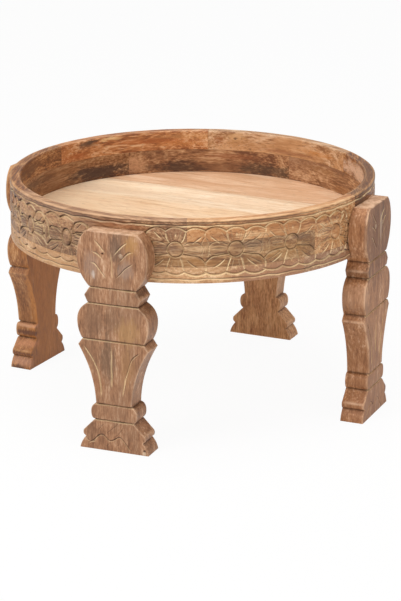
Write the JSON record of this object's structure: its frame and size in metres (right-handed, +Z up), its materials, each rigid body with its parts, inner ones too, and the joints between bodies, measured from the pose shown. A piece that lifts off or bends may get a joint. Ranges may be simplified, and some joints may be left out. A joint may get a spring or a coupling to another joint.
{
  "type": "low table",
  "caption": "Round carved wooden low table: a shallow open-topped drum of brick-laid curved blocks on a planked base, standing on plank legs with a fretted outline.",
  "frame": {"origin": "on the floor, under the drum's centre", "axes": "+Z up; -Y towards the front leg; +X towards the right leg"},
  "size_m": [0.6986, 0.6976, 0.4],
  "materials": {
    "base_wood": "pale planed boards, thin clear lacquer, satin",
    "wall_wood": "mid brown carved hardwood, hand finished, satin",
    "rim_wood": "warm tan hardwood with darker blocks, satin",
    "leg_wood": "brown sawn and carved hardwood, satin",
    "screw_steel": "plain steel wood screws, sunk below the face"
  },
  "bodies": {
    "root": {"base_front_board": "base_wood", "base_board_1": "base_wood", "base_board_2": "base_wood", "base_board_3": "base_wood", "base_board_4": "base_wood", "base_board_5": "base_wood", "base_back_board": "base_wood", "lower_course_block_1": "wall_wood", "lower_course_block_2": "wall_wood", "lower_course_block_3": "wall_wood", "lower_course_block_4": "wall_wood", "lower_course_block_5": "wall_wood", "lower_course_block_6": "wall_wood", "upper_course_block_1": "rim_wood", "upper_course_block_2": "rim_wood", "upper_course_block_3": "rim_wood", "upper_course_block_4": "rim_wood", "upper_course_block_5": "rim_wood", "upper_course_block_6": "rim_wood", "front_leg": "leg_wood", "front_leg_screw_1": "screw_steel", "front_leg_screw_2": "screw_steel", "right_leg": "leg_wood", "right_leg_screw_1": "screw_steel", "right_leg_screw_2": "screw_steel", "back_leg": "leg_wood", "back_leg_screw_1": "screw_steel", "back_leg_screw_2": "screw_steel", "left_leg": "leg_wood", "left_leg_screw_1": "screw_steel", "left_leg_screw_2": "screw_steel"}
  },
  "joints": []
}
